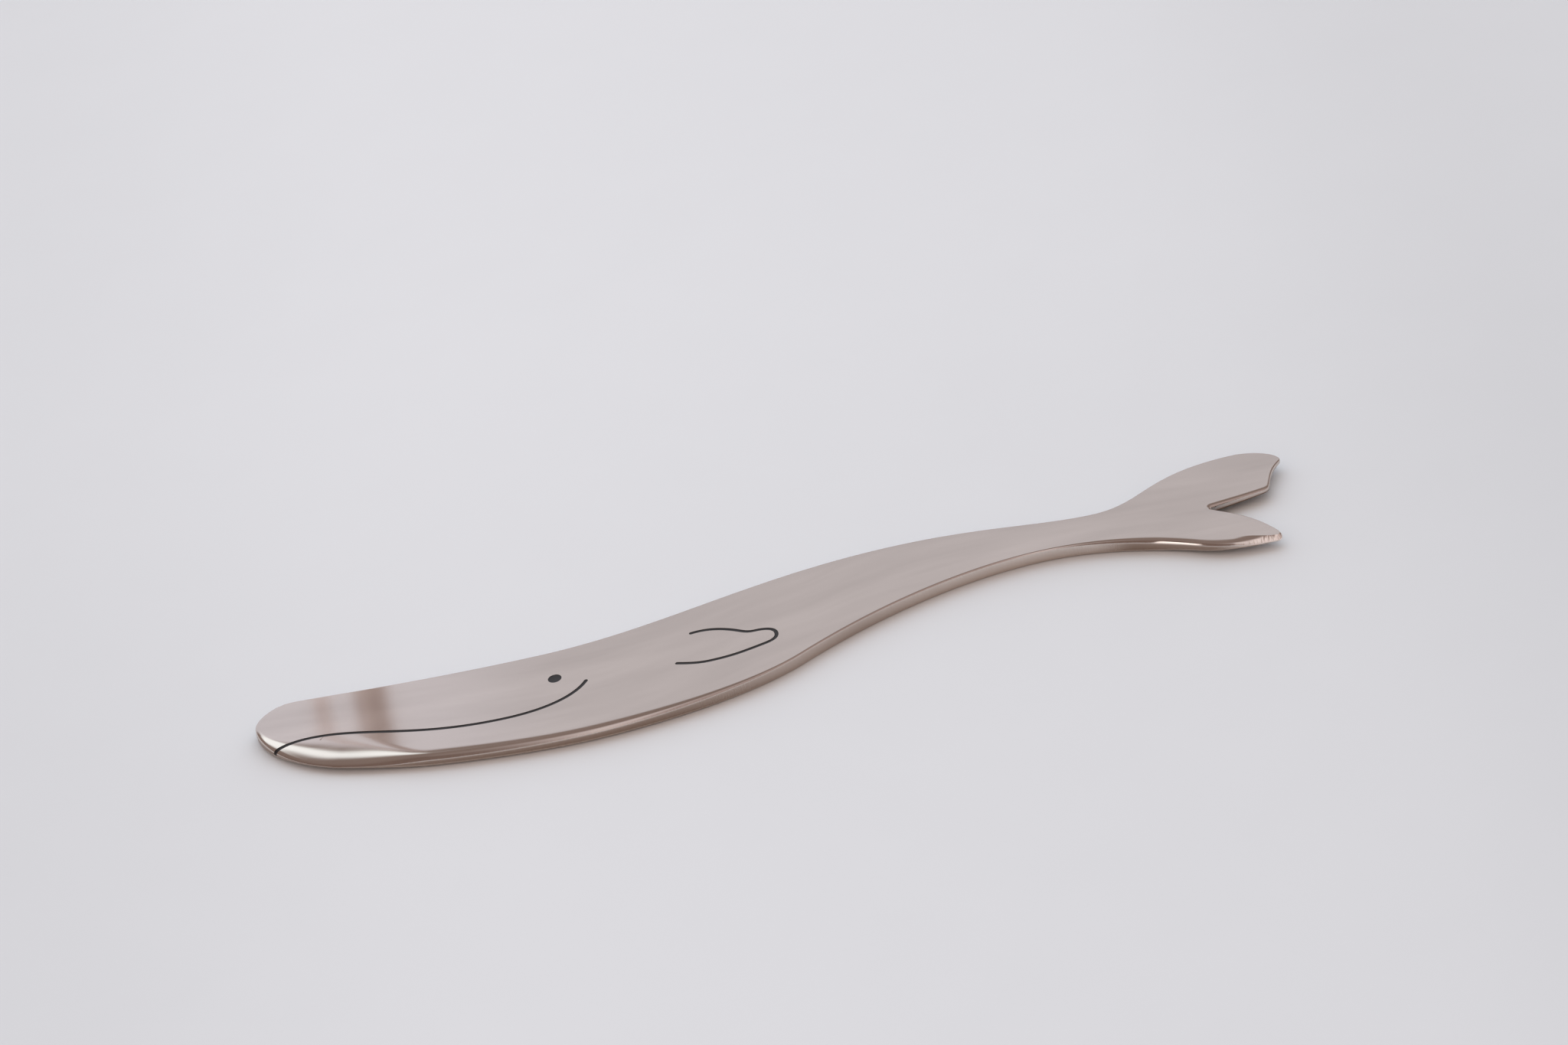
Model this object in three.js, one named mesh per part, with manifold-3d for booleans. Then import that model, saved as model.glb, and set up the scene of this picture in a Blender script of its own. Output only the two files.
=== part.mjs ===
// Child's table knife: one steel blank in the outline of a whale, with its face drawn in black enamel.
//
// The whole knife is blanked from one sheet, so no joint divides blade and handle. The head and the belly
// are the blade, the narrow tail stock is the grip and the fluke is the end of the handle. The edge
// changes on its way round: a broad rounded grind on the snout, which narrows along the belly and runs out
// at the heel, a softer edge under the fluke and a plain broken edge everywhere else. The fluke's underside
// is relieved, so that its tips are thin and stand clear of the table. Mouth, eye and fin are engraved in
// the upper face. The mouth runs out over the snout's grind to the very edge. Each engraving holds its own
// enamel.
//
// Units are millimetres. +X runs from the nose to the fluke, +Y from the belly to the back and +Z up from
// the underside, on which the knife lies. The origin is the middle of the plan, on the underside.

import * as THREE from "three";
import { mergeVertices } from "three/addons/utils/BufferGeometryUtils.js";
import Module from "manifold-3d";

const wasm = await Module();
wasm.setup();

// Sheet and its edge
const SHEET_THICKNESS = 2.2;
const PLAIN_EDGE_ROUND = 0.4;
const SNOUT_GRIND_WIDTH = 7;
const SNOUT_GRIND_DROP = 1.05;
const UNDER_GRIND_WIDTH = 1.3;
const UNDER_GRIND_DROP = 0.5;

// How much of the snout's grind is left at each place, as a share
const NOSE_GRIND = 0.08;
const THROAT_GRIND = 0.2;
const BELLY_GRIND = 0.1;
const SHOULDER_GRIND = 0.08;

// How much of the wall a rounding may take from either face
const ROUND_OF_WALL = 0.45;

// Blade, from the tip of the nose
const FOREHEAD_X = 6;
const FOREHEAD_Y = 5;
const CHIN_X = 12.3;
const CHIN_Y = -14.4;
const THROAT_X = 27.55;
const THROAT_Y = -18.83;
const BELLY_X = 52.1;
const BELLY_Y = -21.55;
const NAPE_X = 46.6;
const NAPE_Y = 2.6;
const HEEL_Y = -13.3;

// Engraved lines
const LINE_WIDTH = 0.52;
const ENGRAVING_DEPTH = 0.3;
const ENAMEL_RECESS = 0.04;
const ENAMEL_CLEARANCE = 0.02;

// Mouth, from the tip of the nose: where it leaves the edge, its upper lip, its lowest place and its corner
const MOUTH_START_Y = -7;
const LIP_X = 8.3;
const LIP_Y = -6.4;
const JAW_X = 40.2;
const JAW_Y = -13;
const MOUTH_LENGTH = 53.4;
const MOUTH_CORNER_Y = -7.3;

// Eye, from the corner of the mouth
const EYE_DIAMETER = 2.2;
const EYE_AHEAD = 5;
const EYE_ABOVE = 2.2;

// Fin, behind the corner of the mouth, and the heel of the blade behind the fin
const FIN_GAP = 14.15;
const FIN_LENGTH = 16.6;
const FIN_SPREAD = 8.7;
const FIN_Y = -9.75;
const HEEL_GAP = 3.4;

// Handle, from the heel: the hump of the back, and the grip's narrowest places on its belly and its back
const HUMP_BEHIND = 17.5;
const HUMP_Y = 11.1;
const GRIP_BELLY_BEHIND = 40;
const GRIP_BELLY_Y = 0;
const GRIP_BACK_BEHIND = 50;
const GRIP_BACK_Y = 7.4;

// Fluke, from the middle of its notch: +X behind the notch, +Y above it
const NOTCH_BEHIND = 68.5;
const NOTCH_Y = 1.75;
const NOTCH_ROUND = 0.4;
const SHOULDER_AHEAD = 4.1;
const SHOULDER_BELOW = 9.25;
const LOWER_TIP_BEHIND = 8.35;
const LOWER_TIP_BELOW = 11.45;
const LOWER_TIP_ROUND = 0.75;
const CORNER_BEHIND = 8.85;
const CORNER_ABOVE = 2.6;
const CORNER_ROUND = 0.9;
const UPPER_TIP_BEHIND = 11.9;
const UPPER_TIP_ABOVE = 9.55;
const UPPER_TIP_ROUND = 1;
const CREST_BEHIND = 5.8;
const CREST_ABOVE = 13.6;

// Underside of the fluke: the fold ahead of the notch where it starts to rise, and its angle in degrees
const RELIEF_AHEAD = 12;
const RELIEF_ANGLE = 2.4;

// Fineness of the facets
const OUTLINE_STEP = 1.3;
const LINE_STEP = 0.6;
const ROUND_STEPS = 5;
const CIRCLE_SIDES = 40;

const HEEL_X = MOUTH_LENGTH + FIN_GAP + FIN_LENGTH + HEEL_GAP;
const NOTCH_X = HEEL_X + NOTCH_BEHIND;

// A place that a curve passes, the direction it passes in, and how long it keeps that direction before and
// after, as shares of the distance to its neighbours. On the outline, grind is the share of the snout's.
function knot(x, y, heading, { arrive = 0.4, leave = 0.4, grind = 0 } = {}) {
  const angle = THREE.MathUtils.degToRad(heading);
  const along = new THREE.Vector2(Math.cos(angle), Math.sin(angle));
  return { place: new THREE.Vector2(x, y), along, arrive, leave, grind };
}

// The two knots of a round corner about a centre. A corner that turns clockwise is hollow.
function corner(x, y, radius, heading, leaving, { arrive = 0.4, leave = 0.4 } = {}) {
  const turn = THREE.MathUtils.degToRad(leaving - heading);
  const pull = (2 * Math.tan(Math.abs(turn) / 4)) / (3 * Math.sin(Math.abs(turn) / 2));
  const reach = radius * Math.sign(turn);
  const [start, end] = [heading, leaving].map((degrees) => {
    const angle = THREE.MathUtils.degToRad(degrees);
    return [x + reach * Math.sin(angle), y - reach * Math.cos(angle)];
  });
  return [knot(...start, heading, { arrive, leave: pull }), knot(...end, leaving, { arrive: pull, leave })];
}

// The curve from one knot to the next
function flow(from, to) {
  const span = from.place.distanceTo(to.place);
  const first = from.place.clone().addScaledVector(from.along, span * from.leave);
  const second = to.place.clone().addScaledVector(to.along, -span * to.arrive);
  return new THREE.CubicBezierCurve(from.place, first, second, to.place);
}

// The outline of the whale, counter-clockwise from the nose
function outlineKnots() {
  const lowerTip = [NOTCH_X + LOWER_TIP_BEHIND, NOTCH_Y - LOWER_TIP_BELOW, LOWER_TIP_ROUND];
  const innerCorner = [NOTCH_X + CORNER_BEHIND, NOTCH_Y + CORNER_ABOVE, CORNER_ROUND];
  const upperTip = [NOTCH_X + UPPER_TIP_BEHIND, NOTCH_Y + UPPER_TIP_ABOVE, UPPER_TIP_ROUND];
  return [
    knot(0, 0, -90, { arrive: 0.3, leave: 0.33, grind: NOSE_GRIND }),
    knot(CHIN_X, CHIN_Y, -23, { arrive: 0.29, leave: 0.285, grind: 1 }),
    knot(THROAT_X, THROAT_Y, -11.5, { arrive: 0.366, leave: 0.353, grind: THROAT_GRIND }),
    knot(BELLY_X, BELLY_Y, 0, { arrive: 0.275, leave: 0.23, grind: BELLY_GRIND }),
    knot(HEEL_X, HEEL_Y, 32, { arrive: 0.33, leave: 0.42 }),
    knot(HEEL_X + GRIP_BELLY_BEHIND, GRIP_BELLY_Y, 0, { arrive: 0.25, leave: 0.31 }),
    knot(NOTCH_X - SHOULDER_AHEAD, NOTCH_Y - SHOULDER_BELOW, -31, { arrive: 0.36, grind: SHOULDER_GRIND }),
    ...corner(...lowerTip, -4, 123),
    ...corner(NOTCH_X, NOTCH_Y, NOTCH_ROUND, 140, 8),
    ...corner(...innerCorner, 9, 70),
    ...corner(...upperTip, 50, 112, { leave: 0.3 }),
    knot(NOTCH_X + CREST_BEHIND, NOTCH_Y + CREST_ABOVE, 180, { arrive: 0.28, leave: 0.58 }),
    knot(HEEL_X + GRIP_BACK_BEHIND, GRIP_BACK_Y, 180, { arrive: 0.33, leave: 0.26 }),
    knot(HEEL_X + HUMP_BEHIND, HUMP_Y, 180, { arrive: 0.46 }),
    knot(NAPE_X, NAPE_Y, 180, { arrive: 0.34, leave: 0.5 }),
    knot(FOREHEAD_X, FOREHEAD_Y, 180, { arrive: 0.1, leave: 0.36 }),
  ];
}

// The outline as short steps. Each has its place, the way into the steel, and the edge's shape there.
function outlineSteps() {
  const knots = outlineKnots();
  return knots.flatMap((from, index) => {
    const to = knots[(index + 1) % knots.length];
    const curve = flow(from, to);
    const count = Math.max(6, Math.ceil(curve.getLength() / OUTLINE_STEP));
    return Array.from({ length: count }, (_, step) => {
      const share = curve.getUtoTmapping(step / count);
      const along = curve.getTangent(share);
      const grind = THREE.MathUtils.lerp(from.grind, to.grind, THREE.MathUtils.smoothstep(step / count, 0, 1));
      return {
        place: curve.getPoint(share),
        inward: new THREE.Vector2(-along.y, along.x),
        width: THREE.MathUtils.lerp(PLAIN_EDGE_ROUND, SNOUT_GRIND_WIDTH, grind),
        drop: THREE.MathUtils.lerp(PLAIN_EDGE_ROUND, SNOUT_GRIND_DROP, grind),
        underWidth: THREE.MathUtils.lerp(PLAIN_EDGE_ROUND, UNDER_GRIND_WIDTH, grind),
        underDrop: THREE.MathUtils.lerp(PLAIN_EDGE_ROUND, UNDER_GRIND_DROP, grind),
      };
    });
  });
}

// The underside is flat as far as a fold across the stock, and rises behind it so that the fluke stands
// clear of the table. The fold runs between two steps, and a rounding is limited by the wall that is left.
function relieveFluke(steps) {
  const behind = steps.map(({ place }) => place.x > NOTCH_X - RELIEF_AHEAD);
  const fold = [behind.indexOf(true) - 1, behind.lastIndexOf(true) + 1];
  const inner = ({ place, inward, underWidth }) => place.clone().addScaledVector(inward, underWidth);
  const [start, end] = fold.map((index) => inner(steps[index]));
  const across = end.sub(start).normalize();
  const slope = Math.tan(THREE.MathUtils.degToRad(RELIEF_ANGLE));
  const relieved = steps.map((step, index) => {
    const beyond = index > fold[0] && index < fold[1] ? inner(step).sub(start).cross(across) : 0;
    const lift = slope * beyond;
    const most = (SHEET_THICKNESS - lift) * ROUND_OF_WALL;
    return { ...step, lift, drop: Math.min(step.drop, most), underDrop: Math.min(step.underDrop, most) };
  });
  return { steps: relieved, fold };
}

// The rings of the edge, from the flat underside round the outline to the flat upper face. A share of 0 is
// at the outline and 1 is where the rounding has run into the face, more gently above than below.
function edgeRings(steps) {
  const shares = Array.from({ length: ROUND_STEPS + 1 }, (_, index) => index / ROUND_STEPS);
  const ring = (height) => steps.map(({ place, inward, ...edge }) => {
    const [inset, z] = height(edge);
    return new THREE.Vector3(place.x + inward.x * inset, place.y + inward.y * inset, z);
  });
  const under = shares.map((share) => ring((edge) => [
    edge.underWidth * share,
    edge.lift + edge.underDrop * (1 - share) ** 2,
  ]));
  const upper = shares.map((share) => ring((edge) => [
    edge.width * share,
    SHEET_THICKNESS - edge.drop * (1 - share) ** 3,
  ]));
  return [...under.reverse(), ...upper];
}

// A closed skin over rings of equal count, from the lowest up, with a lid on the first and the last. The
// upper lid is one flat, and the lower one has a flat to each side of the fold.
function ringSkin(rings, fold) {
  const count = rings[0].length;
  const index = [];
  for (let level = 0; level + 1 < rings.length; level += 1) {
    for (let step = 0; step < count; step += 1) {
      const low = level * count + step;
      const lowNext = level * count + ((step + 1) % count);
      index.push(low, lowNext, lowNext + count, low, lowNext + count, low + count);
    }
  }
  const flat = (ring, members) => THREE.ShapeUtils.triangulateShape(members.map((member) => ring[member]), [])
    .map((triangle) => triangle.map((place) => members[place]));
  const every = rings[0].map((_, step) => step);
  const fluke = every.slice(fold[0], fold[1] + 1);
  const blade = [...every.slice(0, fold[0] + 1), ...every.slice(fold[1])];
  const top = (rings.length - 1) * count;
  [blade, fluke].forEach((members) => flat(rings[0], members).forEach(([a, b, c]) => index.push(a, c, b)));
  flat(rings.at(-1), every).forEach(([a, b, c]) => index.push(top + a, top + b, top + c));
  const geometry = new THREE.BufferGeometry().setFromPoints(rings.flat());
  return geometry.setIndex(index);
}

// The upper surface of the uncut blank over a place in plan: its height and its upward direction. Past the
// outline the rounding carries on down, so that a line can run out over the edge.
function upperSurface(steps, place) {
  let nearest = Infinity;
  let edge = steps[0];
  steps.forEach((step) => {
    const distance = place.distanceToSquared(step.place);
    if (distance < nearest) {
      nearest = distance;
      edge = step;
    }
  });
  const inset = place.clone().sub(edge.place).dot(edge.inward);
  const rest = Math.max(0, 1 - inset / edge.width);
  const slope = (3 * edge.drop * rest ** 2) / edge.width;
  const up = new THREE.Vector3(-slope * edge.inward.x, -slope * edge.inward.y, 1).normalize();
  return { height: SHEET_THICKNESS - edge.drop * rest ** 3, up };
}

// Points along a line of knots, evenly spaced, each with the direction of the line
function lineSteps(knots) {
  const path = new THREE.CurvePath();
  knots.slice(1).forEach((to, index) => path.add(flow(knots[index], to)));
  const count = Math.ceil(path.getLength() / LINE_STEP);
  return Array.from({ length: count + 1 }, (_, step) => ({
    place: path.getPointAt(step / count),
    along: path.getTangentAt(step / count),
  }));
}

// A bar along a line in the upper surface: half as wide to each side, from one height over it to another
function bar(steps, line, half, top, bottom) {
  const sections = line.map(({ place, along }) => {
    const { height, up } = upperSurface(steps, place);
    const middle = new THREE.Vector3(place.x, place.y, height);
    const side = new THREE.Vector3(-along.y, along.x, 0).multiplyScalar(half);
    const [high, low] = [top, bottom].map((offset) => middle.clone().addScaledVector(up, offset));
    return [high.clone().add(side), high.clone().sub(side), low.clone().sub(side), low.clone().add(side)];
  });
  const index = [];
  for (let section = 0; section + 1 < sections.length; section += 1) {
    for (let edge = 0; edge < 4; edge += 1) {
      const near = section * 4 + edge;
      const nearNext = section * 4 + ((edge + 1) % 4);
      index.push(near, nearNext, nearNext + 4, near, nearNext + 4, near + 4);
    }
  }
  const last = (sections.length - 1) * 4;
  index.push(0, 2, 1, 0, 3, 2, last, last + 1, last + 2, last, last + 2, last + 3);
  return new THREE.BufferGeometry().setFromPoints(sections.flat()).setIndex(index);
}

// A round plug in the flat of the upper face
function plug(place, radius, top, bottom, sides = CIRCLE_SIDES) {
  const geometry = new THREE.CylinderGeometry(radius, radius, top - bottom, sides);
  geometry.rotateX(Math.PI / 2);
  return geometry.translate(place.x, place.y, SHEET_THICKNESS + (top + bottom) / 2);
}

function solid(geometry) {
  const bare = geometry.clone();
  bare.deleteAttribute("normal");
  bare.deleteAttribute("uv");
  const merged = mergeVertices(bare, 1e-5);
  const vertProperties = new Float32Array(merged.attributes.position.array);
  return new wasm.Manifold(new wasm.Mesh({
    numProp: 3,
    vertProperties,
    triVerts: new Uint32Array(merged.index.array),
  }));
}

function geometryOf(manifold) {
  const { vertProperties, triVerts } = manifold.getMesh();
  const geometry = new THREE.BufferGeometry();
  geometry.setAttribute("position", new THREE.BufferAttribute(new Float32Array(vertProperties), 3));
  geometry.setIndex(new THREE.BufferAttribute(new Uint32Array(triVerts), 1));
  geometry.computeVertexNormals();
  return geometry;
}

// A line of enamel and the cut it lies in: round at each end that stays on the flat of the face
function engravedLine(steps, knots, roundEnds) {
  const line = lineSteps(knots);
  const ends = [line[0], line.at(-1)].filter((_, index) => roundEnds[index]);
  const body = (half, top, bottom) => ends.reduce(
    (whole, { place }) => whole.add(solid(plug(place, half, top, bottom, CIRCLE_SIDES / 2))),
    solid(bar(steps, line, half, top, bottom)),
  );
  return engraving((spare, top, bottom) => body(LINE_WIDTH / 2 - spare, top, bottom));
}

// The cut opens upward, and the enamel lies in it with the named clearance, a little below the face
function engraving(body) {
  return {
    cut: body(0, SHEET_THICKNESS, -ENGRAVING_DEPTH),
    enamel: body(ENAMEL_CLEARANCE, -ENAMEL_RECESS, ENAMEL_CLEARANCE - ENGRAVING_DEPTH),
  };
}

// The mouth starts past the edge of the chin, so its cut runs out there, and curls up behind the eye
function mouthKnots(steps) {
  const chin = steps.filter(({ place }) => place.x < CHIN_X && place.y < 0);
  const start = chin.reduce((best, step) => (
    Math.abs(step.place.y - MOUTH_START_Y) < Math.abs(best.place.y - MOUTH_START_Y) ? step : best
  ));
  const outside = start.place.clone().addScaledVector(start.inward, -2 * LINE_WIDTH);
  return [
    knot(outside.x, outside.y, 0, { leave: 0.3 }),
    knot(LIP_X, LIP_Y, 0, { leave: 0.28 }),
    knot(JAW_X, JAW_Y, 0, { arrive: 0.46 }),
    knot(MOUTH_LENGTH, MOUTH_CORNER_Y, 61, { arrive: 0.32 }),
  ];
}

// The fin is an open line: over the top, round the tip with its small shoulder, and back along the bottom
function finKnots() {
  const at = (along, up, heading, pulls) => knot(
    MOUTH_LENGTH + FIN_GAP + along * FIN_LENGTH,
    FIN_Y + up * FIN_SPREAD,
    heading,
    pulls,
  );
  return [
    at(0.18, 1, 10, { leave: 0.34 }),
    at(0.65, 0.753, -35),
    at(0.8, 0.638, 0),
    at(1, 0.397, -90, { arrive: 0.43, leave: 0.43 }),
    at(0.844, 0.15, -165),
    at(0.345, 0, -180, { leave: 0.37 }),
    at(0, 0.16, -201, { arrive: 0.38 }),
  ];
}

const { steps, fold } = relieveFluke(outlineSteps());
const blank = solid(ringSkin(edgeRings(steps), fold));
const mouth = engravedLine(steps, mouthKnots(steps), [false, true]);
const fin = engravedLine(steps, finKnots(), [true, true]);
const eyePlace = new THREE.Vector2(MOUTH_LENGTH - EYE_AHEAD, MOUTH_CORNER_Y + EYE_ABOVE);
const eye = engraving((spare, top, bottom) => solid(plug(eyePlace, EYE_DIAMETER / 2 - spare, top, bottom)));

const steel = new THREE.MeshStandardMaterial({ color: 0xb9aca8, roughness: 0.28, metalness: 1 });
const enamel = new THREE.MeshStandardMaterial({ color: 0x1f1b1a, roughness: 0.35, metalness: 0 });

const knife = new THREE.Group();
const addPiece = (name, manifold, material) => {
  const mesh = new THREE.Mesh(geometryOf(manifold), material);
  mesh.name = name;
  knife.add(mesh);
};
addPiece("steel_blank", blank.subtract(mouth.cut).subtract(eye.cut).subtract(fin.cut), steel);
addPiece("mouth_enamel", mouth.enamel.intersect(blank), enamel);
addPiece("eye_enamel", eye.enamel, enamel);
addPiece("fin_enamel", fin.enamel, enamel);

// The middle of the plan becomes the origin
const plan = new THREE.Box2().setFromPoints(steps.map(({ place }) => place));
const middle = plan.getCenter(new THREE.Vector2());
knife.position.set(-middle.x, -middle.y, 0);

export default knife;
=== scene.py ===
"""Looks of a child's steel table knife in the outline of a whale, with its face drawn in black enamel.

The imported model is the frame. The steel is drawn again from the same named places as a fine skin that
follows the outline, the engraved lines are swept along their paths and cut into it, and the enamel lies in
the cuts. Everything is in metres in the frame's own axes: +X from the nose to the fluke, +Y from the belly
to the back and +Z up from the table. Only the knife's own sizes are in millimetres, from the tip of the nose.
"""

import logging
import math
from dataclasses import dataclass, field
from enum import Enum
from typing import Any, Callable, Mapping, Sequence, Union

import bmesh
import bpy
import numpy as np
from mathutils import Matrix, Vector


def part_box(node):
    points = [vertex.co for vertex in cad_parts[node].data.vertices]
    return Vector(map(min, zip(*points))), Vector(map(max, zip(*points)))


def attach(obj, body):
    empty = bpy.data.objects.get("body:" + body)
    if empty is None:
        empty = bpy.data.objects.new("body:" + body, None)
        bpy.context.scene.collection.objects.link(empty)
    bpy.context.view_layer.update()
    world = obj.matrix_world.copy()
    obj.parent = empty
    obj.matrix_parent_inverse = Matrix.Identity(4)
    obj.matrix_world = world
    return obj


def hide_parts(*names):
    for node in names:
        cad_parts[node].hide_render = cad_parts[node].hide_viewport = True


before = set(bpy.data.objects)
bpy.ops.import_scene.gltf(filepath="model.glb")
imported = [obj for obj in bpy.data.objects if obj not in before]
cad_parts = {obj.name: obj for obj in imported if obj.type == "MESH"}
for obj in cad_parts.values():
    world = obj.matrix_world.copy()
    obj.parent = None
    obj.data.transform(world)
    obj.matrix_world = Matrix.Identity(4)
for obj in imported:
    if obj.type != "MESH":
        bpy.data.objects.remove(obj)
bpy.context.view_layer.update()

logging.basicConfig(level=logging.INFO, format="%(name)s: %(message)s")
log = logging.getLogger("whale_knife")

MM = 0.001
BODY = "root"
EDGE_MAP = "edge"
SAME_PLACE = 1e-6
SHARP = math.radians(35)
CURVE_POINTS = 600
SECTION_POINTS = 200
PLAIN_STIFFNESS = 0.9
SNOUT_LOSS = 0.6
SNOUT_EASE = 0.3

Number = Union[float, int, "Wire"]
Span = tuple[float, float]
Place = tuple[float, float, float]
Colour = tuple[float, float, float]
Piece = bpy.types.Object
Mesh = bpy.types.Mesh
Material = bpy.types.Material
Node = bpy.types.Node
Socket = bpy.types.NodeSocket
Sockets = Mapping[Union[str, int], Any]


def shade(colour: Colour, share: float) -> Colour:
    """Gives a colour times a share."""
    return tuple(channel * share for channel in colour)


def shifted(span: Span, by: float) -> Span:
    """Gives a span moved along."""
    return span[0] + by, span[1] + by


# Node trees, written as Python


def maths(operation: str, swapped: bool = False) -> Callable[..., "Wire"]:
    """Makes a method of a wire that adds one Math node.

    Args:
        operation: The node's operation.
        swapped: Whether the wire itself comes last.

    Returns:
        The method.
    """

    def method(wire: "Wire", *others: Number) -> "Wire":
        """Adds the Math node."""
        values = (*others, wire) if swapped else (wire, *others)
        return wire.board.math(operation, *values)

    return method


class Wire:
    """A socket that carries a number, so that node maths reads as a Python expression."""

    def __init__(self, board: "Board", socket: Socket) -> None:
        """Keeps the socket and the board that new Math nodes go on."""
        self.board = board
        self.socket = socket

    __add__ = __radd__ = maths("ADD")
    __sub__ = maths("SUBTRACT")
    __rsub__ = maths("SUBTRACT", swapped=True)
    __mul__ = __rmul__ = maths("MULTIPLY")
    __truediv__ = maths("DIVIDE")
    __abs__ = maths("ABSOLUTE")
    floor = maths("FLOOR")
    modulo = maths("MODULO")
    least = maths("MINIMUM")
    most = maths("MAXIMUM")
    over = maths("GREATER_THAN")

    def rise(self, low: float, high: float) -> "Wire":
        """Gives a smooth step.

        Args:
            low: The value up to which the result is 0.
            high: The value from which the result is 1.

        Returns:
            The step as a wire.
        """
        ends = {"Value": self, "From Min": low, "From Max": high}
        kind = {"interpolation_type": "SMOOTHSTEP", "clamp": True}
        return self.board.out(self.board.add("ShaderNodeMapRange", ends, **kind))

    def between(self, start: Span, end: Span) -> "Wire":
        """Gives 1 between two smooth steps, and 0 outside them."""
        return self.rise(*start) * (1 - self.rise(*end))


class Board:
    """A node tree with one way to add any node."""

    def __init__(self, tree: bpy.types.NodeTree) -> None:
        """Empties the tree that the nodes go into."""
        self.tree = tree
        tree.nodes.clear()

    def add(self, kind: str, sockets: Sockets | None = None, **settings: Any) -> Node:
        """Adds a node, sets it up and then fills or links its sockets.

        Args:
            kind: The node's type.
            sockets: Values, wires or sockets by the input's name, identifier or number.
            settings: Its properties. The one named curve holds the points of a Float Curve node.

        Returns:
            The new node.
        """
        node = self.tree.nodes.new(kind)
        for name, value in settings.items():
            if name == "curve":
                self._bend(node, value)
            else:
                setattr(node, name, value)
        for key, value in (sockets or {}).items():
            self._fill(self._input(node, key), value)
        return node

    def give(self, kind: str, sockets: Sockets | None = None, **settings: Any) -> Socket:
        """Adds a node and gives its first output."""
        return self.add(kind, sockets, **settings).outputs[0]

    @staticmethod
    def _bend(node: Node, points: Sequence[Span]) -> None:
        """Shapes a Float Curve node.

        Args:
            node: The node.
            points: The points that its curve passes.
        """
        curve = node.mapping.curves[0]
        while len(curve.points) < len(points):
            curve.points.new(0.5, 0.5)
        for point, place in zip(curve.points, points):
            point.location = place
            point.handle_type = "AUTO"
        node.mapping.update()

    @staticmethod
    def _input(node: Node, key: Union[str, int]) -> Socket:
        """Finds an input by number, identifier or name."""
        found = [socket for socket in node.inputs if socket.identifier == key]
        return found[0] if found else node.inputs[key]

    def _fill(self, socket: Socket, value: Any) -> None:
        """Links an input or sets its value.

        Args:
            socket: The input.
            value: A value, a wire or a socket, or a list of sockets.
        """
        for source in value if isinstance(value, list) else [value]:
            if isinstance(source, Wire):
                source = source.socket
            if isinstance(source, Socket):
                self.tree.links.new(source, socket)
            else:
                socket.default_value = source

    def out(self, node: Node, key: Union[str, int] = 0) -> Wire:
        """Wraps a node's output for maths."""
        return Wire(self, node.outputs[key])

    def math(self, operation: str, *values: Number) -> Wire:
        """Adds a Math node to numbers or wires."""
        return self.out(self.add("ShaderNodeMath", dict(enumerate(values)), operation=operation))

    def split(self, vector: Socket) -> tuple[Wire, Wire, Wire]:
        """Gives the three numbers of a vector."""
        node = self.add("ShaderNodeSeparateXYZ", {0: vector})
        return self.out(node, 0), self.out(node, 1), self.out(node, 2)

    def join(self, x: Number, y: Number, z: Number) -> Socket:
        """Makes a vector of three numbers."""
        return self.give("ShaderNodeCombineXYZ", {0: x, 1: y, 2: z})

    def place(self, kind: str = "Object") -> tuple[Wire, Wire, Wire]:
        """Gives the three numbers of a texture coordinate."""
        return self.split(self.add("ShaderNodeTexCoord").outputs[kind])

    def scale(self, vector: Any, by: Number) -> Socket:
        """Multiplies a vector or a colour by a number."""
        return self.give("ShaderNodeVectorMath", {0: vector, "Scale": by}, operation="SCALE")

    def plus(self, first: Any, second: Any) -> Socket:
        """Adds two vectors."""
        return self.give("ShaderNodeVectorMath", {0: first, 1: second}, operation="ADD")

    def noise(
        self,
        places: Sequence[Wire],
        swings: Sequence[float],
        detail: float = 2.0,
        rough: float = 0.5,
        seed: float = 0.0,
    ) -> Wire:
        """Adds smooth noise around 0.5.

        Args:
            places: The two or three numbers that it is read at.
            swings: How often it swings per unit of each.
            detail: How many finer layers lie over it.
            rough: How strong the finer layers are.
            seed: The third number, where only two are given.

        Returns:
            The noise as a wire.
        """
        spots = [place * often for place, often in zip(places, swings)]
        vector = self.join(*[*spots, seed][:3])
        sockets = {"Vector": vector, "Scale": 1.0, "Detail": detail, "Roughness": rough}
        return self.out(self.add("ShaderNodeTexNoise", sockets), "Fac")

    def blend(self, share: Number, first: Any, second: Any) -> Socket:
        """Mixes two colours.

        Args:
            share: How much of the second colour shows.
            first: A colour or a socket.
            second: A colour or a socket.

        Returns:
            The mixed colour's socket.
        """
        ends = [(*end, 1.0) if isinstance(end, tuple) else end for end in (first, second)]
        sockets = {"Factor_Float": share, "A_Color": ends[0], "B_Color": ends[1]}
        node = self.add("ShaderNodeMix", sockets, data_type="RGBA")
        return next(socket for socket in node.outputs if socket.identifier == "Result_Color")

    def bump(self, height: Wire, strength: float, distance: float, normal: Socket | None = None) -> Socket:
        """Turns a height into a normal.

        Args:
            height: The height.
            strength: How much of it shows.
            distance: How high it is where it is 1.
            normal: The normal that it changes, if not the surface's own.

        Returns:
            The new normal.
        """
        sockets = {"Strength": strength, "Distance": distance, "Height": height}
        if normal is not None:
            sockets["Normal"] = normal
        return self.give("ShaderNodeBump", sockets)

    def surface(self, sockets: Mapping[str, Any]) -> None:
        """Ends a material in a Principled shader."""
        shader = self.give("ShaderNodeBsdfPrincipled", sockets)
        self.add("ShaderNodeOutputMaterial", {"Surface": shader})


def new_material(name: str) -> tuple[Material, Board]:
    """Makes a material.

    Args:
        name: Its name.

    Returns:
        The material, and the board for its nodes.
    """
    made = bpy.data.materials.new(name)
    made.use_nodes = True
    return made, Board(made.node_tree)


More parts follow.
